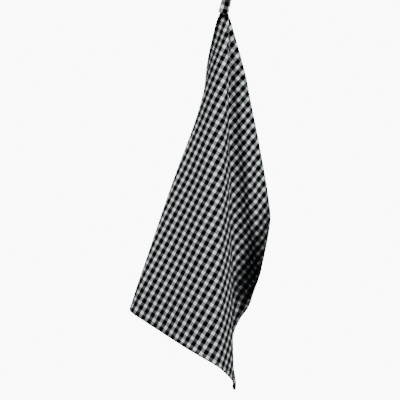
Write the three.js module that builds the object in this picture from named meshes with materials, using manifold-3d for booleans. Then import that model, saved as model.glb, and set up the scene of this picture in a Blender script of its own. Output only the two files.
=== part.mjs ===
// A checked cotton tea towel that hangs by a tape loop sewn over one of its corners.
//
// Units are millimetres, +Z is up, and the towel is seen from -Y. The origin is where the loop
// rests on a hook. The cloth fans out from the seam's end, straight below the origin, as a folded
// cone: each ray of the cloth runs from the seam's end to a hem, and a section across the rays is
// one line that bends back and forth. The fold tables give that line's bends.
import * as THREE from "three";
import { mergeVertices } from "three/addons/utils/BufferGeometryUtils.js";
import Module from "manifold-3d";

const wasm = await Module();
wasm.setup();

const DEG = Math.PI / 180;

// ---- driving dimensions ----
const TOWEL = { length: 700, width: 500, thickness: 1.4 };
const SEAM_RUN = 19; // from the towel's corner to the seam's end, along the short hem
const HANG_DROP = 50; // from the hook to the seam's end
const LOOP = { width: 21.5, thickness: 1.6, lean: 13.9, halfGap: 7, inset: 11.3, footGap: 1.2 };
const TAB = { height: 10, sunk: 3 }; // the towel's corner, caught between the loop's two ends
const CLEARANCE = 0.3;
const APEX = { start: 5, fullThickness: 28 }; // the cloth thins towards the seam's end
const MESH = { radialSteps: 22, radialGrowth: 1.15, sectionStep: 0.25 };

// ---- the front folds ----
// angle: where on the cloth the bend lies, in degrees about the seam's end, from the line that
// runs parallel to the long hems. Headings, in degrees: which way the section runs there, 0 to the
// right, 90 away from the viewer, 180 to the left. They are given at four distances from the
// seam's end.
const STATIONS = [30, 110, 220, 650];
const FRONT_FOLDS = [
  { name: "corner", angle: -90, headings: [-20, -66, -100, -168] },
  { name: "seam turn", angle: -45, headings: [40, -66, -100, -167] },
  { name: "hem side", angle: -4, headings: [-40, -66, -100, -165] },
  { name: "flap", angle: 5, headings: [-45, -66, -96, -145] },
  { name: "left fold", angle: 9, headings: [-50, -62, -76, -80] },
  { name: "left side", angle: 12, headings: [-50, -62, -62, -31] },
  { name: "left slope", angle: 15.5, headings: [-48, -54, -50, -28] },
  { name: "left belly", angle: 19, headings: [-38, -44, -42, -29] },
  { name: "belly turn", angle: 23, headings: [-10, -15, -26, -20] },
  { name: "belly", angle: 27, headings: [10, 15, 5, 8] },
  { name: "crease side", angle: 29, headings: [40, 48, 54, 52] },
  { name: "crease turn", angle: 31.5, headings: [58, 60, 62, 62] },
  { name: "crease", angle: 34, headings: [88, 90, 90, 90] },
  { name: "wall", angle: 39.5, headings: [92, 92, 92, 92] },
  { name: "valley", angle: 42.7, headings: [38, 38, 38, 38] },
  { name: "right start", angle: 45, headings: [-27, -27, -27, -27] },
  { name: "right step", angle: 48.5, headings: [-44, -44, -52, -56] },
  { name: "right crest", angle: 50.3, headings: [0, 0, 0, 0] },
  { name: "right slope", angle: 52, headings: [25, 25, 40, 40] },
  { name: "right belly", angle: 54.5, headings: [10, 10, 18, 26] },
  { name: "right edge", angle: 90, headings: [10, 10, 18, 26] },
];

// ---- the right edge, where the front rolls round to the back ----
// Low down, the weight of the free hem draws it in over the cloth. Each row is a distance from the
// seam's end and the ray that the edge runs along there.
const RIGHT_EDGE = [
  [0, 59.5],
  [220, 58.9],
  [340, 57.6],
  [440, 56.8],
  [480, 56.1],
  [515, 54.7],
  [550, 52.9],
  [585, 50.8],
  [620, 48.8],
  [650, 47],
  [680, 44.8],
  [711, 43.4],
  [864, 36],
];
// How many degrees of cloth the roll takes, at two distances from the seam's end.
const ROLL = [
  [600, 3],
  [690, 1],
];
// Below a slanting line across the front, the cloth right of the crease is tucked back.
const TUCK = { lean: 20.9, distance: 206, softness: 32, slope: 1.15, rays: [40, 43] };
// Near the foot, the cloth beyond the crease and the far corner swing out a little to the right.
const SWINGS = [
  { from: 640, to: 700, turn: -11, rays: [38.5, 40.5] },
  { from: 805, to: 830, turn: -9, rays: [33, 35] },
];

// ---- the back folds ----
// Each share is of the way from the right edge to the short hem.
const BACK_FOLDS = [
  { name: "right edge", share: 0, heading: 90 },
  { name: "back turn", share: 0.08, heading: 140 },
  { name: "back wall", share: 0.2, heading: 150 },
  { name: "back ridge", share: 0.32, heading: 105 },
  { name: "back hollow", share: 0.48, heading: 255 },
  { name: "back crest", share: 0.66, heading: 105 },
  { name: "back side", share: 0.82, heading: 255 },
  { name: "short hem", share: 1, heading: 265 },
];

// ---- the crease, which carries the section: its bearing left of straight down ----
const CREASE = { angle: 34, depth: 0.3 };
const CREASE_BEARING = [
  [0, -0.3],
  [60, -0.3],
  [200, 0],
  [340, -0.1],
  [465, -0.4],
  [560, -0.6],
  [700, -0.8],
  [860, -0.9],
];

// A smooth curve through points that never overshoots between them.
function gentleCurve(xs, ys) {
  const rise = xs.slice(1).map((x, i) => (ys[i + 1] - ys[i]) / (x - xs[i]));
  const slopes = xs.map((x, i) => {
    if (i === 0) return rise[0];
    if (i === xs.length - 1) return rise[i - 1];
    if (rise[i - 1] * rise[i] <= 0) return 0;
    const before = x - xs[i - 1];
    const after = xs[i + 1] - x;
    const w1 = 2 * after + before;
    const w2 = after + 2 * before;
    return (w1 + w2) / (w1 / rise[i - 1] + w2 / rise[i]);
  });
  return (x) => {
    let i = 0;
    while (i < xs.length - 2 && xs[i + 1] < x) i++;
    const h = xs[i + 1] - xs[i];
    const s = (x - xs[i]) / h;
    const start = ys[i] * (1 + 2 * s) * (1 - s) ** 2 + slopes[i] * h * s * (1 - s) ** 2;
    const end = ys[i + 1] * s * s * (3 - 2 * s) + slopes[i + 1] * h * s * s * (s - 1);
    return start + end;
  };
}

// Straight lines through the rows of a table, level beyond its ends.
function between(rows, x) {
  let i = 0;
  while (i < rows.length - 2 && rows[i + 1][0] < x) i++;
  const t = THREE.MathUtils.clamp((x - rows[i][0]) / (rows[i + 1][0] - rows[i][0]), 0, 1);
  return rows[i][1] + t * (rows[i + 1][1] - rows[i][1]);
}

const { smoothstep } = THREE.MathUtils;
const rightEdge = gentleCurve(
  RIGHT_EDGE.map(([reach]) => reach),
  RIGHT_EDGE.map(([, ray]) => ray),
);

// Which way the section at one distance from the seam's end runs, at each ray of the cloth.
function headingAt(reach) {
  const station = THREE.MathUtils.clamp(reach, STATIONS[0], STATIONS.at(-1));
  const edge = rightEdge(reach);
  const roll = between(ROLL, reach);
  const front = gentleCurve(
    FRONT_FOLDS.map((fold) => fold.angle),
    FRONT_FOLDS.map((fold) => gentleCurve(STATIONS, fold.headings)(station)),
  );
  const back = gentleCurve(
    BACK_FOLDS.map((fold) => edge + fold.share * (90 - edge)),
    BACK_FOLDS.map((fold) => fold.heading),
  );
  return (ray) => {
    const ahead = front(ray);
    const behind = back(Math.max(ray, edge));
    let heading = ahead + (behind - ahead) * smoothstep(ray, edge - roll, edge);
    for (const { from, to, turn, rays } of SWINGS) {
      heading += turn * smoothstep(reach, from, to) * smoothstep(ray, ...rays);
    }
    return heading;
  };
}

// The section at one distance from the seam's end: a bearing and a depth angle for each ray,
// worked out from the crease both ways by following the headings.
function section(reach) {
  const headingOf = headingAt(reach);
  const step = MESH.sectionStep;
  const walk = (direction) => {
    const start = between(CREASE_BEARING, reach);
    const line = [{ angle: CREASE.angle, bearing: start, depth: CREASE.depth }];
    while (Math.abs(line.at(-1).angle - direction * 90) > step / 2) {
      const { angle, bearing, depth } = line.at(-1);
      const heading = headingOf(angle + (direction * step) / 2) * DEG;
      const rise = direction * step * Math.sin(heading);
      const mean = (depth + rise / 2) * DEG;
      const turn = (direction * step * Math.cos(heading)) / Math.cos(mean);
      line.push({ angle: angle + direction * step, bearing: bearing - turn, depth: depth + rise });
    }
    return line;
  };
  return [...walk(-1).reverse(), ...walk(1).slice(1)];
}

// How far back the tuck puts a place that lies this far right of the seam's end and below it.
function tuckedBack(right, down, ray) {
  const lean = TUCK.lean * DEG;
  const past = Math.max(right * Math.cos(lean) + down * Math.sin(lean) - TUCK.distance, 0);
  const soft = TUCK.softness;
  const run = past < soft ? past ** 2 / (2 * soft) : past - soft / 2;
  return TUCK.slope * run * smoothstep(ray, ...TUCK.rays);
}

// Where a place on the flat cloth hangs. A place is measured from the seam's end: along the long
// hems, and across them.
function clothPoint({ along, across }) {
  const reach = Math.hypot(along, across);
  const ray = Math.atan2(across, along) / DEG;
  const line = section(reach);
  const place = (ray + 90) / MESH.sectionStep;
  const i = Math.min(Math.floor(place), line.length - 2);
  const t = place - i;
  const bearing = (line[i].bearing * (1 - t) + line[i + 1].bearing * t) * DEG;
  const depth = (line[i].depth * (1 - t) + line[i + 1].depth * t) * DEG;
  const right = -reach * Math.sin(bearing) * Math.cos(depth);
  const down = reach * Math.cos(bearing) * Math.cos(depth);
  const behind = reach * Math.sin(depth) + tuckedBack(right, down, ray);
  return new THREE.Vector3(right, behind, -HANG_DROP - down);
}

// How far a ray runs before it meets a hem.
function rayLength(angle) {
  const across = Math.sin(angle * DEG);
  const along = Math.cos(angle * DEG);
  const toSide = across > 0 ? (TOWEL.width - SEAM_RUN) / across : Infinity;
  const toFoot = along > 0 ? TOWEL.length / along : Infinity;
  return Math.min(toSide, toFoot);
}

// The sheet's grid on the flat cloth: lines beside the flap's hem, and then rays, one of them to
// the far corner, closer together where the right edge bends.
function flatGrid() {
  const shares = [];
  for (let k = 0; k <= MESH.radialSteps; k++) shares.push((k / MESH.radialSteps) ** MESH.radialGrowth);
  const lines = [1, 2 / 3, 1 / 3].map((part) => {
    const start = APEX.start * (1 - part);
    return shares.map((share) => ({
      along: start + (TOWEL.length - start) * share,
      across: -SEAM_RUN * part,
    }));
  });
  const angles = [];
  const farCorner = Math.atan((TOWEL.width - SEAM_RUN) / TOWEL.length) / DEG;
  for (let a = 0; a < farCorner - 0.4; a++) angles.push(a);
  for (let a = farCorner; a < 59; a += 0.7) angles.push(a);
  for (let a = 60; a < 90; a += 1.25) angles.push(a);
  angles.push(90);
  const rays = angles.map((angle) =>
    shares.map((share) => {
      const reach = APEX.start + (rayLength(angle) - APEX.start) * share;
      return { along: reach * Math.cos(angle * DEG), across: reach * Math.sin(angle * DEG) };
    }),
  );
  return [...lines, ...rays];
}

// A closed sheet between two faces, from a grid of middle points and their thicknesses.
function sheetGeometry(grid, thicknessAt) {
  const rows = grid.length;
  const columns = grid[0].length;
  const faces = [[], []];
  const along = new THREE.Vector3();
  const across = new THREE.Vector3();
  for (let i = 0; i < rows; i++) {
    for (let j = 0; j < columns; j++) {
      along.subVectors(grid[i][Math.min(j + 1, columns - 1)], grid[i][Math.max(j - 1, 0)]);
      across.subVectors(grid[Math.min(i + 1, rows - 1)][j], grid[Math.max(i - 1, 0)][j]);
      const normal = new THREE.Vector3().crossVectors(across, along).normalize();
      const half = thicknessAt(i, j) / 2;
      faces[0].push(grid[i][j].clone().addScaledVector(normal, half));
      faces[1].push(grid[i][j].clone().addScaledVector(normal, -half));
    }
  }
  const points = [...faces[0], ...faces[1]];
  const back = rows * columns;
  const index = [];
  const at = (i, j) => i * columns + j;
  for (let i = 0; i < rows - 1; i++) {
    for (let j = 0; j < columns - 1; j++) {
      const [a, b, c, d] = [at(i, j), at(i + 1, j), at(i + 1, j + 1), at(i, j + 1)];
      index.push(a, b, c, a, c, d);
      index.push(back + a, back + c, back + b, back + a, back + d, back + c);
    }
  }
  const rim = [];
  for (let i = 0; i < rows - 1; i++) rim.push([at(i + 1, 0), at(i, 0)]);
  for (let j = 0; j < columns - 1; j++) rim.push([at(0, j), at(0, j + 1)]);
  for (let i = 0; i < rows - 1; i++) rim.push([at(i, columns - 1), at(i + 1, columns - 1)]);
  for (let j = 0; j < columns - 1; j++) rim.push([at(rows - 1, j + 1), at(rows - 1, j)]);
  for (const [p, q] of rim) index.push(p, q, back + q, p, back + q, back + p);
  const geometry = new THREE.BufferGeometry().setFromPoints(points);
  geometry.setIndex(index);
  return geometry;
}

function solidOf(geometry) {
  const bare = geometry.clone();
  bare.deleteAttribute("normal");
  bare.deleteAttribute("uv");
  const merged = mergeVertices(bare, 1e-4);
  return new wasm.Manifold(
    new wasm.Mesh({
      numProp: 3,
      vertProperties: new Float32Array(merged.getAttribute("position").array),
      triVerts: new Uint32Array(merged.index.array),
    }),
  );
}

function geometryOf(solid) {
  const mesh = solid.getMesh();
  const geometry = new THREE.BufferGeometry();
  geometry.setAttribute("position", new THREE.BufferAttribute(mesh.vertProperties, 3));
  geometry.setIndex(new THREE.BufferAttribute(mesh.triVerts, 1));
  geometry.computeVertexNormals();
  return geometry;
}

// ---- the towel: one folded sheet, and its corner between the loop's ends ----
function clothSheet() {
  const flat = flatGrid();
  const hung = flat.map((row) => row.map(clothPoint));
  const thin = (i, j) => {
    const reach = Math.hypot(flat[i][j].along, flat[i][j].across);
    return TOWEL.thickness * Math.min(1, reach / APEX.fullThickness);
  };
  return sheetGeometry(hung, thin);
}

// The seam runs from the seam's end, up and to the left, square to the loop's lean.
const leanAxis = new THREE.Vector3(Math.sin(LOOP.lean * DEG), 0, Math.cos(LOOP.lean * DEG));
const widthAxis = new THREE.Vector3(leanAxis.z, 0, -leanAxis.x);
const seamEnd = new THREE.Vector3(0, 0, -HANG_DROP);
const seamMiddle = seamEnd.clone().addScaledVector(widthAxis, -LOOP.inset);
const loopFrame = new THREE.Matrix4().makeBasis(widthAxis, new THREE.Vector3(0, 1, 0), leanAxis);

function cornerTab() {
  const tall = TAB.height + TAB.sunk;
  const tab = new THREE.BoxGeometry(LOOP.width, TOWEL.thickness, tall);
  tab.translate(0, 0, tall / 2 - TAB.sunk);
  tab.applyMatrix4(loopFrame);
  return tab.translate(seamMiddle.x, seamMiddle.y, seamMiddle.z);
}

const linen = new THREE.MeshStandardMaterial({ color: 0x6f7272, roughness: 0.95, metalness: 0 });
const towel = new THREE.Mesh(
  geometryOf(solidOf(clothSheet()).add(solidOf(cornerTab()))),
  linen,
);
towel.name = "towel";

// ---- the hanging loop: a folded tape whose two ends hold the corner ----
// Its outline is drawn in the plane of its depth and its lean, and extruded across its width.
function loopGeometry() {
  const foot = TOWEL.thickness / 2 + CLEARANCE;
  const half = LOOP.halfGap;
  const rise = seamMiddle.length() - half;
  const grip = TAB.height + 1;
  const middle = (grip + rise) / 2;
  const line = (out) => {
    const path = new THREE.Path();
    path.moveTo(foot + out, LOOP.footGap);
    path.lineTo(foot + out, grip);
    path.bezierCurveTo(foot + out, middle, half + out, middle, half + out, rise);
    path.absarc(0, rise, half + out, 0, Math.PI, false);
    path.bezierCurveTo(-half - out, middle, -foot - out, middle, -foot - out, grip);
    path.lineTo(-foot - out, LOOP.footGap);
    return path.getPoints(10);
  };
  const outline = new THREE.Shape([...line(LOOP.thickness), ...line(0).reverse()]);
  const tape = new THREE.ExtrudeGeometry(outline, { depth: LOOP.width, bevelEnabled: false });
  tape.translate(0, 0, -LOOP.width / 2);
  const depthLeanWidth = new THREE.Matrix4().makeBasis(
    new THREE.Vector3(0, 1, 0),
    new THREE.Vector3(0, 0, 1),
    new THREE.Vector3(1, 0, 0),
  );
  tape.applyMatrix4(depthLeanWidth).applyMatrix4(loopFrame);
  return tape.translate(seamMiddle.x, seamMiddle.y, seamMiddle.z);
}

const tapeCloth = new THREE.MeshStandardMaterial({ color: 0x8a8c8c, roughness: 0.95, metalness: 0 });
const loop = new THREE.Mesh(geometryOf(solidOf(loopGeometry())), tapeCloth);
loop.name = "hanging_loop";

const part = new THREE.Group();
part.add(towel, loop);
export default part;
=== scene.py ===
import math

import bmesh
import bpy
import numpy as np
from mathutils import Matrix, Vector


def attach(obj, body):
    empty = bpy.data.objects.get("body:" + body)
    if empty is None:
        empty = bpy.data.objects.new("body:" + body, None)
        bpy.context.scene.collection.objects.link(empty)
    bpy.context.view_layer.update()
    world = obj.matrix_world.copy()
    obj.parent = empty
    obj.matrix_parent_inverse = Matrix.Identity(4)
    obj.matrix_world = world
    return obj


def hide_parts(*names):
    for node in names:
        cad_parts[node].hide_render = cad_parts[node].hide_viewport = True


# A black and white checked tea towel, hanging from the tape loop at its corner. The origin is
# where the loop rests on its hook, +Z is up, and the towel is seen from -Y.
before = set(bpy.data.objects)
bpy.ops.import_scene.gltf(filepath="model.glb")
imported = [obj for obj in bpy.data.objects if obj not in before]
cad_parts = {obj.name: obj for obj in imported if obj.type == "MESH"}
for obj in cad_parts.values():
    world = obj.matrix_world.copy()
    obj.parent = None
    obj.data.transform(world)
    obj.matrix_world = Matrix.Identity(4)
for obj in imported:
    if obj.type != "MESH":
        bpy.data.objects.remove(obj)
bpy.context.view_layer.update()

# ---- camera ----
# A long lens 10 m away, a little above the middle of the towel and square to its front, so that
# the folds keep their true widths. It frames 900 mm.
MM = 0.001
CAMERA = {"target": (-63.9, 0, -470.1), "distance": 10000, "elevation": 5, "frame": 900, "sensor": 36}

elevation = math.radians(CAMERA["elevation"])
towards = Vector((0, -math.cos(elevation), math.sin(elevation)))
lens = bpy.data.cameras.new("long_lens")
lens.sensor_fit = "HORIZONTAL"
lens.sensor_width = CAMERA["sensor"]
lens.lens = CAMERA["sensor"] * CAMERA["distance"] / CAMERA["frame"]
camera = bpy.data.objects.new("camera", lens)
camera.location = (Vector(CAMERA["target"]) + towards * CAMERA["distance"]) * MM
camera.rotation_euler = (-towards).to_track_quat("-Z", "Y").to_euler()
bpy.context.collection.objects.link(camera)
bpy.context.scene.camera = camera

# ---- the towel ----
# One length of gingham cotton, cut 500 by 700 mm, with a narrow hem turned and stitched on all
# four sides. It hangs from a seam across its corner, so its folds fan out from the seam's end.
TOWEL = {"length": 700, "width": 500, "thickness": 0.75}
HEM = {"width": 8.6, "thickness": 1.7, "slope": 0.7}
SEAM_RUN = 19  # from the corner to the seam's end, along the short hem
HANG_DROP = 50  # from the hook to the seam's end
GATHERS = {"reach": 26, "thinnest": 0.15}  # near the seam's end they press the cloth thin
GRID = {"along": 215, "across": 160, "crowding": 1.22}  # finer towards the seam
# The far corner is rolled up into a stub with a blunt tip. Its checks are pulled towards one black
# check, which paints the stub's shade in black over the cloth's own check. That check's middle is
# given in mm along and across the flat cloth.
ROLLED = {"from": 34, "to": 14, "thickness": 6.5, "drop": 3}
ROLLED_TIP = {"length": 3.2, "share": 0.6}
ROLLED_BLACK_CHECK_AND_SHADE = {"place": (698.5, 493), "share": 0.8}

# Each bend's place on the cloth is an angle about the seam's end, in degrees, from the line along
# the long hems. Then come its headings: which way a section across the folds runs there, 0 to the
# right, 90 away from the viewer, 180 to the left, at five distances from the seam's end.
STATIONS = (30, 110, 220, 400, 650)
FRONT_FOLDS = (
    ("corner", -90, (-20, -66, -100, -132, -168)),
    ("seam turn", -45, (40, -66, -100, -132, -167)),
    ("hem side", -4, (-40, -66, -100, -131, -165)),
    ("flap", 5, (-45, -66, -96, -146, -145)),
    ("left fold", 9, (-50, -56, -68, -70, -81)),
    ("left side", 12, (-50, -56, -60, -41.5, -28.5)),
    ("left slope", 15.5, (-48, -50, -50, -35, -26.5)),
    ("left belly", 19, (-38, -44, -42, -37, -29)),
    ("belly turn", 23, (-10, -15, -26, -24, -20)),
    ("belly", 27, (10, 15, 5, 6, 8)),
    ("crease side", 29, (40, 48, 54, 53, 52)),
    ("crease turn", 31.5, (58, 60, 62, 62, 62)),
    ("crease", 34, (88, 90, 90, 90, 90)),
    ("wall", 39.5, (92, 92, 92, 92, 92)),
    ("valley", 42.7, (38, 38, 38, 38, 38)),
    ("right start", 45, (-27, -27, -27, -27, -27)),
    ("right step", 48.5, (-44, -44, -52, -54, -56)),
    ("right crest", 50.3, (0, 0, 0, 0, 0)),
    ("right slope", 52, (25, 25, 40, 40, 40)),
    ("right belly", 54.5, (10, 10, 18, 22, 26)),
    ("right edge", 90, (10, 10, 18, 22, 26)),
)
# The right edge is where the front rolls round to the back. Low down, the weight of the free hem
# draws it in over the cloth. The roll is a few degrees of the cloth wide.
RIGHT_EDGE = {
    "reach": (0, 120, 220, 340, 440, 480, 515, 550, 585, 620, 650, 680, 711, 864),
    "angle": (59.9, 60, 59.1, 58.1, 57.1, 56.5, 55.2, 53.5, 51.6, 49.3, 47.4, 45.6, 44.6, 36),
}
ROLL = {"reach": (600, 690), "angle": (3, 1)}
# Below a slanting line across the front the right-hand cloth is tucked back under itself. The
# line's lean is in degrees, and its distance from the seam's end, its softness in mm.
TUCK = {"lean": 23, "distance": 239, "softness": 34, "slope": 1.5, "rays": (40, 43)}
# Behind, the cloth zigzags from the right edge to the short hem. Each bend has its share of the
# way there, and its heading.
BACK_FOLDS = (
    ("right edge", 0, 90),
    ("back turn", 0.08, 140),
    ("back wall", 0.2, 150),
    ("back ridge", 0.32, 105),
    ("back hollow", 0.48, 255),
    ("back crest", 0.66, 105),
    ("back side", 0.82, 255),
    ("short hem", 1, 265),
)
# Near the foot, the cloth at the right edge, by the crease and at the far corner swings out to
# the right, each part beyond its own distance and rays.
SWINGS = (
    {"from": 670, "over": 30, "turn": -18, "rays": (40, 41.5)},
    {"from": 640, "over": 60, "turn": -11, "rays": (38.5, 40.5)},
    {"from": 805, "over": 25, "turn": -9, "rays": (33, 35)},
)
# The crease down the middle is all but plumb. Its bearings are in degrees to the right.
CREASE = {
    "ray": 34,
    "depth": 0.3,
    "reach": (0, 60, 200, 340, 465, 560, 700, 860),
    "bearing": (-0.3, -0.3, 0, -0.1, -0.4, -0.6, -0.8, -0.9),
}
SECTION = {"step": 0.25, "reach_step": 2, "longest": 864}  # degrees, mm, mm


def gentle_curve(xs, ys, x):
    """A smooth curve through points that never overshoots between them."""
    rise = np.diff(ys) / np.diff(xs)
    slope = np.concatenate([rise[:1], np.zeros(len(xs) - 2), rise[-1:]])
    for i in range(1, len(xs) - 1):
        if rise[i - 1] * rise[i] > 0:
            before, after = xs[i] - xs[i - 1], xs[i + 1] - xs[i]
            w1, w2 = 2 * after + before, after + 2 * before
            slope[i] = (w1 + w2) / (w1 / rise[i - 1] + w2 / rise[i])
    xs, ys = np.array(xs, float), np.array(ys, float)
    i = np.clip(np.searchsorted(xs, x) - 1, 0, len(xs) - 2)
    h = xs[i + 1] - xs[i]
    s = (x - xs[i]) / h
    start = ys[i] * (1 + 2 * s) * (1 - s) ** 2 + slope[i] * h * s * (1 - s) ** 2
    end = ys[i + 1] * s * s * (3 - 2 * s) + slope[i + 1] * h * s * s * (s - 1)
    return start + end


def smooth_step(x):
    """Eases from 0 to 1 as x does."""
    x = np.clip(x, 0, 1)
    return x * x * (3 - 2 * x)


def headings_at(reach, rays, edge):
    """Which way a section runs at each ray, at one distance from the seam's end."""
    station = np.clip(reach, STATIONS[0], STATIONS[-1])
    bends = [ray for _, ray, _ in FRONT_FOLDS]
    turns = [gentle_curve(STATIONS, headings, station) for _, _, headings in FRONT_FOLDS]
    front = gentle_curve(bends, turns, rays)
    bends = [edge + share * (90 - edge) for _, share, _ in BACK_FOLDS]
    turns = [heading for _, _, heading in BACK_FOLDS]
    back = gentle_curve(bends, turns, np.maximum(rays, edge))
    roll = np.interp(reach, ROLL["reach"], ROLL["angle"])
    heading = front + (back - front) * smooth_step((rays - edge + roll) / roll)
    for swing in SWINGS:
        first, last = swing["rays"]
        turned = smooth_step((reach - swing["from"]) / swing["over"]) * swing["turn"]
        heading += turned * smooth_step((rays - first) / (last - first))
    return heading


def section(reach):
    """Bearings and depth angles along one section, from the corner's ray to the short hem's."""
    edge = gentle_curve(RIGHT_EDGE["reach"], RIGHT_EDGE["angle"], reach)
    step = SECTION["step"]
    rays = np.arange(-90, 90 + step / 2, step)
    heading = np.radians(headings_at(reach, rays[:-1] + step / 2, edge))
    crease = int(round((CREASE["ray"] + 90) / step))
    depth = np.concatenate([[0], np.cumsum(step * np.sin(heading))])
    depth += CREASE["depth"] - depth[crease]
    mean = np.radians((depth[1:] + depth[:-1]) / 2)
    bearing = np.concatenate([[0], -np.cumsum(step * np.cos(heading) / np.cos(mean))])
    bearing += np.interp(reach, CREASE["reach"], CREASE["bearing"]) - bearing[crease]
    return bearing, depth


reaches = np.arange(0, SECTION["longest"] + 1, SECTION["reach_step"])
sections = np.array([section(reach) for reach in reaches])


def hang(along, across):
    """Where places on the flat cloth hang, in mm. They are given from the seam's end."""
    reach = np.hypot(along, across)
    ray = np.degrees(np.arctan2(across, along))
    row = reach / SECTION["reach_step"]
    column = (ray + 90) / SECTION["step"]
    i = np.clip(row.astype(int), 0, sections.shape[0] - 2)
    j = np.clip(column.astype(int), 0, sections.shape[2] - 2)
    a, b = (row - i)[:, None], (column - j)[:, None]
    near = sections[i, :, j] * (1 - b) + sections[i, :, j + 1] * b
    far = sections[i + 1, :, j] * (1 - b) + sections[i + 1, :, j + 1] * b
    bearing, depth = np.radians(near * (1 - a) + far * a).T
    right = -reach * np.sin(bearing) * np.cos(depth)
    down = reach * np.cos(bearing) * np.cos(depth)
    lean = math.radians(TUCK["lean"])
    past = np.maximum(right * math.cos(lean) + down * math.sin(lean) - TUCK["distance"], 0)
    soft = TUCK["softness"]
    tuck = TUCK["slope"] * np.where(past < soft, past**2 / (2 * soft), past - soft / 2)
    first, last = TUCK["rays"]
    tuck *= smooth_step((ray - first) / (last - first))
    return np.column_stack([right, reach * np.sin(depth) + tuck, -HANG_DROP - down])


def new_piece(name, bm):
    """A bmesh as an object at the origin."""
    mesh = bpy.data.meshes.new(name)
    bm.to_mesh(mesh)
    bm.free()
    mesh.shade_smooth()
    piece = bpy.data.objects.new(name, mesh)
    bpy.context.collection.objects.link(piece)
    return piece


def add(tree, kind, links=(), values=(), **settings):
    """Adds a node. Links and values go by the input they set, and settings are its properties."""
    node = tree.nodes.new(kind)
    for key, setting in settings.items():
        setattr(node, key, setting)
    for place, value in dict(values).items():
        node.inputs[place].default_value = value
    for place, output in dict(links).items():
        tree.links.new(output, node.inputs[place])
    return node


def srgb(code):
    """A colour's sRGB hex value, as linear red, green, blue and alpha."""
    parts = [int(code[i : i + 2], 16) / 255 for i in (1, 3, 5)]
    return (*[c / 12.92 if c <= 0.04045 else ((c + 0.055) / 1.055) ** 2.4 for c in parts], 1)


# Gingham: plain-woven cotton in bands of black and white yarn both ways. Black crosses black as
# deep matt squares, white crosses white, and the mixed squares are darker where the warp is black.
# Soft cotton has next to no gloss, so the squares stay even in tone over the folds.
# The bands' sizes and starts are in mm, and so are the yarns' and the stitches'.
CHECK = {"pitch": 17.3, "black": 10.1, "warp_start": 3.6, "weft_start": 1.4}
GINGHAM = {"black": "#000000", "black warp": "#414344", "white warp": "#6f7376", "white": "#d2d7d9"}
COTTON = {"roughness": 0.95, "specular": 0.02}
# The yarns are drawn a little coarser than real ones, whose relief is too fine to show.
YARN = {"spacing": 0.55, "relief": 0.12, "strength": 0.5}
SLUB = {"length": 41.7, "width": 1.43, "fade": 0.05}
STITCH = {"inset": 7.6, "width": 0.7, "pitch": 3, "share": 0.7, "thread": "#202122"}


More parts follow.
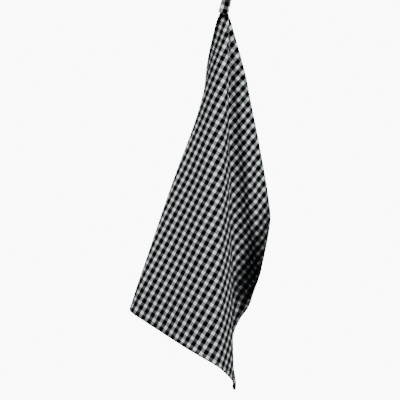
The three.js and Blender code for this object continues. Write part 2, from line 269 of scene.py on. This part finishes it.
def gingham(name, hemmed):
    """Gingham cotton, with a row of stitches inside its hems if it is hemmed."""
    material = bpy.data.materials.new(name)
    material.use_nodes = True
    tree = material.node_tree
    shader = tree.nodes["Principled BSDF"]
    shader.inputs["Roughness"].default_value = COTTON["roughness"]
    shader.inputs["Specular IOR Level"].default_value = COTTON["specular"]
    grain = add(tree, "ShaderNodeUVMap", uv_map="cloth")
    axes = add(tree, "ShaderNodeSeparateXYZ", {0: grain.outputs[0]})

    # Bands of black warp lie side by side across the cloth, and bands of black weft along it.
    # Single yarns rise and fall as a fine wave both ways.
    bands = []
    waves = []
    for axis, start in ((1, CHECK["warp_start"]), (0, CHECK["weft_start"])):
        place = {0: axes.outputs[axis]}
        repeats = {1: 1 / (CHECK["pitch"] * MM), 2: -start / CHECK["pitch"]}
        count = add(tree, "ShaderNodeMath", place, repeats, operation="MULTIPLY_ADD")
        phase = add(tree, "ShaderNodeMath", {0: count.outputs[0]}, operation="FRACT")
        share = {1: CHECK["black"] / CHECK["pitch"]}
        band = add(tree, "ShaderNodeMath", {0: phase.outputs[0]}, share, operation="LESS_THAN")
        bands.append(band.outputs[0])
        turns = {1: math.pi / (YARN["spacing"] * MM)}
        angle = add(tree, "ShaderNodeMath", place, turns, operation="MULTIPLY")
        wave = add(tree, "ShaderNodeMath", {0: angle.outputs[0]}, operation="SINE")
        waves.append(wave.outputs[0])

    # A Mix node's colours are its inputs 6 and 7, and its mixed colour is its output 2.
    crossed = []
    for white_weft, black_weft in (("white", "black warp"), ("white warp", "black")):
        colours = {6: srgb(GINGHAM[white_weft]), 7: srgb(GINGHAM[black_weft])}
        mix = add(tree, "ShaderNodeMix", {0: bands[0]}, colours, data_type="RGBA")
        crossed.append(mix.outputs[2])
    colours = {0: bands[1], 6: crossed[0], 7: crossed[1]}
    checked = add(tree, "ShaderNodeMix", colours, data_type="RGBA")

    # Slubs, thicker and thinner lengths of yarn, make faint streaks along the warp.
    scale = {3: (1 / (SLUB["length"] * MM), 1 / (SLUB["width"] * MM), 1)}
    stretched = add(tree, "ShaderNodeMapping", {0: grain.outputs[0]}, scale)
    fine = {"Scale": 1, "Detail": 2, "Roughness": 0.5}
    noise = add(tree, "ShaderNodeTexNoise", {0: stretched.outputs[0]}, fine)
    shades = {3: 1 - SLUB["fade"], 4: 1 + SLUB["fade"]}
    shade = add(tree, "ShaderNodeMapRange", {0: noise.outputs[0]}, shades)
    dyed = {6: checked.outputs[2], 7: shade.outputs[0]}
    whole = {0: 1}
    cloth = add(tree, "ShaderNodeMix", dyed, whole, data_type="RGBA", blend_type="MULTIPLY")
    if hemmed:
        # The stitches follow the flat cloth, a set distance in from its nearest side.
        flat = add(tree, "ShaderNodeUVMap", uv_map="flat")
        sides = add(tree, "ShaderNodeSeparateXYZ", {0: flat.outputs[0]})
        inward = {}
        for axis, size in ((0, TOWEL["length"]), (1, TOWEL["width"])):
            place = {0: sides.outputs[axis]}
            side = add(tree, "ShaderNodeMath", place, {1: size * MM / 2}, operation="PINGPONG")
            inward[axis] = side.outputs[0]
        nearest = add(tree, "ShaderNodeMath", inward, operation="MINIMUM")
        line = {1: STITCH["inset"] * MM, 2: STITCH["width"] * MM / 2}
        row = add(tree, "ShaderNodeMath", {0: nearest.outputs[0]}, line, operation="COMPARE")
        run = add(tree, "ShaderNodeMath", {0: sides.outputs[0], 1: sides.outputs[1]})
        pitch = {1: 1 / (STITCH["pitch"] * MM)}
        count = add(tree, "ShaderNodeMath", {0: run.outputs[0]}, pitch, operation="MULTIPLY")
        phase = add(tree, "ShaderNodeMath", {0: count.outputs[0]}, operation="FRACT")
        share = {1: STITCH["share"]}
        shown = add(tree, "ShaderNodeMath", {0: phase.outputs[0]}, share, operation="LESS_THAN")
        both = {0: row.outputs[0], 1: shown.outputs[0]}
        stitch = add(tree, "ShaderNodeMath", both, operation="MULTIPLY")
        sewn = {0: stitch.outputs[0], 6: cloth.outputs[2]}
        thread = {7: srgb(STITCH["thread"])}
        cloth = add(tree, "ShaderNodeMix", sewn, thread, data_type="RGBA")
    tree.links.new(cloth.outputs[2], shader.inputs["Base Color"])

    weave = add(tree, "ShaderNodeMath", {0: waves[0], 1: waves[1]}, operation="MULTIPLY")
    relief = {"Strength": YARN["strength"], "Distance": YARN["relief"] * MM}
    bump = add(tree, "ShaderNodeBump", {"Height": weave.outputs[0]}, relief)
    tree.links.new(bump.outputs[0], shader.inputs["Normal"])
    return material


# Pulled on the bias, the cloth gives, so its checks lie some mm further along it, and further
# across it, than on flat cloth. Each line is a ray's, at eight distances from the seam's end.
GIVE_REACH = (20, 60, 115, 200, 375, 480, 645, 780)
GIVE = (
    ("corner", -30, (-4.5, -7, -7, -4, -4.5, -2, 2, 4), (5.5, 2.5, -1.5, 1, -3.5, 0, 1.5, 2)),
    ("left fold", 8, (-6, -3, -3, -4, -2.5, 0, 3, 5), (5.5, 1.5, 1, 1, -5, -2, 0, 3)),
    ("left belly", 18, (-5, -3, -0.5, -1.5, 0, 2, 3.5, 5.5), (5, 3, 1.5, 1, -4, -1, 0, 3)),
    ("belly", 26, (-4.5, -2.5, -0.5, -1, 0.5, 2.5, 1, -4.5), (5, 4, 2, 0, -2.5, -0.5, -0.5, 2.5)),
    ("crease", 35, (-3, -2.5, -1.5, -3, -1.5, 1, -3, -4.5), (5, 4, 2.5, 0.5, -3, -1.5, 2, 1)),
    ("wall", 38, (12.5, 13.5, 6, 4.5, 2.5, 3.5, 3.5, -0.5), (8.5, 5, 3, 3, 1.5, 3, 4.5, 4.5)),
    ("right start", 46, (11, 11.5, 8.5, 8, 4.5, 3, 3, 4.5), (8, 5, 3, 3.5, 5, 6.5, 6.5, 6)),
    ("right belly", 54, (11.5, 12, 8.5, 7.5, 3.5, 0.5, -1.5, 0), (8, 5.5, 3.5, 3.5, 6.5, 7, 7, 0)),
)


def give(reach, ray):
    """How far the checks have moved along and across, at places on the towel's cloth."""
    rays = np.array([line[1] for line in GIVE])
    i = np.clip(np.searchsorted(rays, ray) - 1, 0, len(rays) - 2)
    t = np.clip((ray - rays[i]) / (rays[i + 1] - rays[i]), 0, 1)
    place = np.arange(len(reach))
    moved = []
    for column in (2, 3):
        each = np.array([np.interp(reach, GIVE_REACH, line[column]) for line in GIVE])
        moved.append(each[i, place] * (1 - t) + each[i + 1, place] * t)
    return np.column_stack(moved)


bm = bmesh.new()
bmesh.ops.create_grid(bm, x_segments=GRID["along"], y_segments=GRID["across"], size=0.5)
cut_size = np.array([TOWEL["length"], TOWEL["width"]])
for vert in bm.verts:
    along, across = (max(0, c + 0.5) ** GRID["crowding"] for c in vert.co.xy)
    vert.co = (along * TOWEL["length"], across * TOWEL["width"], 0)
hem_lines = (HEM["width"], HEM["width"] + HEM["slope"])
for axis, way in ((0, Vector((1, 0, 0))), (1, Vector((0, 1, 0)))):
    for line in (*hem_lines, *(cut_size[axis] - np.array(hem_lines))):
        whole = bm.verts[:] + bm.edges[:] + bm.faces[:]
        bmesh.ops.bisect_plane(bm, geom=whole, plane_co=way * float(line), plane_no=way)

flat = np.array([vert.co.xy for vert in bm.verts])
along, across = flat[:, 0], flat[:, 1] - SEAM_RUN
reach = np.hypot(along, across)
from_corner = np.hypot(*(flat - cut_size).T)
rolled = smooth_step((ROLLED["from"] - from_corner) / (ROLLED["from"] - ROLLED["to"]))
checks = flat + give(reach, np.degrees(np.arctan2(across, along)))
# On the rolled stub the checks are drawn onto one black check: painted shade on the stub.
checks += (ROLLED_BLACK_CHECK_AND_SHADE["place"] - checks) * ROLLED_BLACK_CHECK_AND_SHADE["share"] * rolled[:, None]
hung = hang(along, across) - np.outer(rolled, (0, 0, ROLLED["drop"]))

# One map carries the checks as they lie on the hanging cloth, and one the flat cloth's own sides.
bm.verts.index_update()
cloth_map = bm.loops.layers.uv.new("cloth")
flat_map = bm.loops.layers.uv.new("flat")
for face in bm.faces:
    for loop in face.loops:
        i = loop.vert.index
        loop[cloth_map].uv = checks[i] * MM
        loop[flat_map].uv = flat[i] * MM
for vert, place in zip(bm.verts, hung):
    vert.co = place * MM
towel = new_piece("tea_towel", bm)

# The cloth's thickness: hems are folded twice over, the gathers at the seam lie thin, and the
# rolled corner is thickest.
from_edge = np.minimum(flat, cut_size - flat).min(axis=1)
thick = np.interp(from_edge, hem_lines, (HEM["thickness"], TOWEL["thickness"]))
blunt = np.interp(from_corner, (0, ROLLED_TIP["length"]), (ROLLED_TIP["share"], 1))
thick = np.maximum(thick, ROLLED["thickness"] * rolled * blunt)
thick *= np.clip(reach / GATHERS["reach"], GATHERS["thinnest"], 1)
weights = towel.vertex_groups.new(name="thickness")
for i, share in enumerate(thick / ROLLED["thickness"]):
    weights.add([i], float(share), "REPLACE")
layers = towel.modifiers.new("cloth thickness", "SOLIDIFY")
layers.thickness = ROLLED["thickness"] * MM
layers.offset = 0
layers.vertex_group = "thickness"
towel.data.materials.append(gingham("woven_gingham_cotton", True))
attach(towel, "root")
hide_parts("towel")

# ---- the hanging loop ----
# A strip of the same gingham folded lengthwise into a tape and then over on itself. Its two ends
# are sewn to the towel's corner, one on each face, and its bend rests on the hook.
LOOP = {"width": 21.5, "thickness": 1.1, "lean": 13.9, "half_gap": 7, "inset": 11.5}
# At its foot the tape's two ends grip the corner's gathered cloth, and spread a little.
LOOP_FOOT = {"gap": 0.45, "start": -2.6, "grip": 11, "flare": 1.1, "flare_height": 30}
TAPE_SHIFT = (1.6, -4.6)  # how far along and across the tape was cut from a check
TAPE_GRID = {"along": 90, "across": 8, "bend": 40, "top": 20}

lean = math.radians(LOOP["lean"])
lean_axis = np.array([math.sin(lean), 0, math.cos(lean)])
width_axis = np.array([math.cos(lean), 0, -math.sin(lean)])
seam_middle = np.array([0, 0, -HANG_DROP]) - LOOP["inset"] * width_axis


def tape_line(count):
    """Evenly spaced places along the tape, as depth and height above the seam, and its length."""
    foot = LOOP_FOOT["gap"] + LOOP["thickness"] / 2
    half = LOOP["half_gap"] + LOOP["thickness"] / 2
    rise = np.linalg.norm(seam_middle) - LOOP["half_gap"]
    grip = LOOP_FOOT["grip"]
    middle = (grip + rise) / 2
    ends = [np.array(end) for end in ((foot, grip), (foot, middle), (half, middle), (half, rise))]
    t = np.linspace(0, 1, TAPE_GRID["bend"])[:, None]
    bend = (1 - t) ** 3 * ends[0] + 3 * t * (1 - t) ** 2 * ends[1]
    bend = bend + 3 * t**2 * (1 - t) * ends[2] + t**3 * ends[3]
    over = np.radians(np.linspace(0, 90, TAPE_GRID["top"]))[:, None]
    top = np.hstack([half * np.cos(over), rise + half * np.sin(over)])
    front = np.vstack([[[foot, LOOP_FOOT["start"]]], bend, top[1:]]) * [-1, 1]
    whole = np.vstack([front, front[-2::-1] * [-1, 1]])
    run = np.concatenate([[0], np.cumsum(np.linalg.norm(np.diff(whole, axis=0), axis=1))])
    at = np.linspace(0, run[-1], count)
    return np.column_stack([np.interp(at, run, part) for part in whole.T]), run[-1]


tape_places, tape_length = tape_line(TAPE_GRID["along"] + 1)
bm = bmesh.new()
bmesh.ops.create_grid(bm, x_segments=TAPE_GRID["along"], y_segments=TAPE_GRID["across"], size=0.5)
tape_map = bm.loops.layers.uv.new("cloth")
for face in bm.faces:
    for loop in face.loops:
        along, across = loop.vert.co.xy + Vector((0.5, 0.5))
        place = Vector((along * tape_length, across * LOOP["width"])) + Vector(TAPE_SHIFT)
        loop[tape_map].uv = place * MM
for vert in bm.verts:
    depth, height = tape_places[int(round((vert.co.x + 0.5) * TAPE_GRID["along"]))]
    flare = np.interp(height, (0, LOOP_FOOT["flare_height"]), (LOOP_FOOT["flare"], 1))
    place = seam_middle + height * lean_axis + vert.co.y * LOOP["width"] * flare * width_axis
    vert.co = Vector(place + [0, depth, 0]) * MM
tape = new_piece("loop_tape", bm)
layers = tape.modifiers.new("folded strip", "SOLIDIFY")
layers.thickness = LOOP["thickness"] * MM
layers.offset = 0
tape.data.materials.append(gingham("woven_gingham_tape", False))
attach(tape, "root")
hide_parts("hanging_loop")

# ---- the studio ----
# A pale floor under the towel and a white surround that is seen but lights nothing. One large
# soft light hangs high in front, and two weak ones fill in from the front and from behind. Each
# light has its place and size in metres, and its power in watts.
FLOOR = {"height": -1.6, "radius": 2.6, "sides": 96, "colour": "#f4f4f4"}
LIGHTS = (
    ("key", (0.7, -2.7, 4.7), 2.2, 1200),
    ("fill", (0.6, -3.2, 0.4), 1.6, 6),
    ("back", (-1.2, 2.6, 1.6), 1.6, 110),
)
LIGHTS_AIM = (-0.05, 0, -0.45)
SURROUND = {"colour": "#ffffff", "strength": 10}

# Uncoated background paper: quite matt, so the floor is one even pale tone.
paper = bpy.data.materials.new("matt_background_paper")
paper.use_nodes = True
shader = paper.node_tree.nodes["Principled BSDF"]
shader.inputs["Base Color"].default_value = srgb(FLOOR["colour"])
shader.inputs["Roughness"].default_value = 1
shader.inputs["Specular IOR Level"].default_value = 0
bm = bmesh.new()
bmesh.ops.create_circle(bm, cap_ends=True, segments=FLOOR["sides"], radius=FLOOR["radius"])
bmesh.ops.translate(bm, verts=bm.verts, vec=(0, 0, FLOOR["height"]))
floor = new_piece("floor", bm)
floor.data.materials.append(paper)
floor.visible_diffuse = False

for name, place, size, power in LIGHTS:
    data = bpy.data.lights.new(name, "AREA")
    data.size = size
    data.energy = power
    light = bpy.data.objects.new(name, data)
    light.location = place
    light.rotation_euler = (Vector(LIGHTS_AIM) - light.location).to_track_quat("-Z", "Y").to_euler()
    bpy.context.collection.objects.link(light)

world = bpy.data.worlds.new("studio")
world.use_nodes = True
surround = world.node_tree.nodes["Background"]
surround.inputs["Color"].default_value = srgb(SURROUND["colour"])
surround.inputs["Strength"].default_value = SURROUND["strength"]
world.cycles_visibility.diffuse = False
world.cycles_visibility.glossy = False
bpy.context.scene.world = world
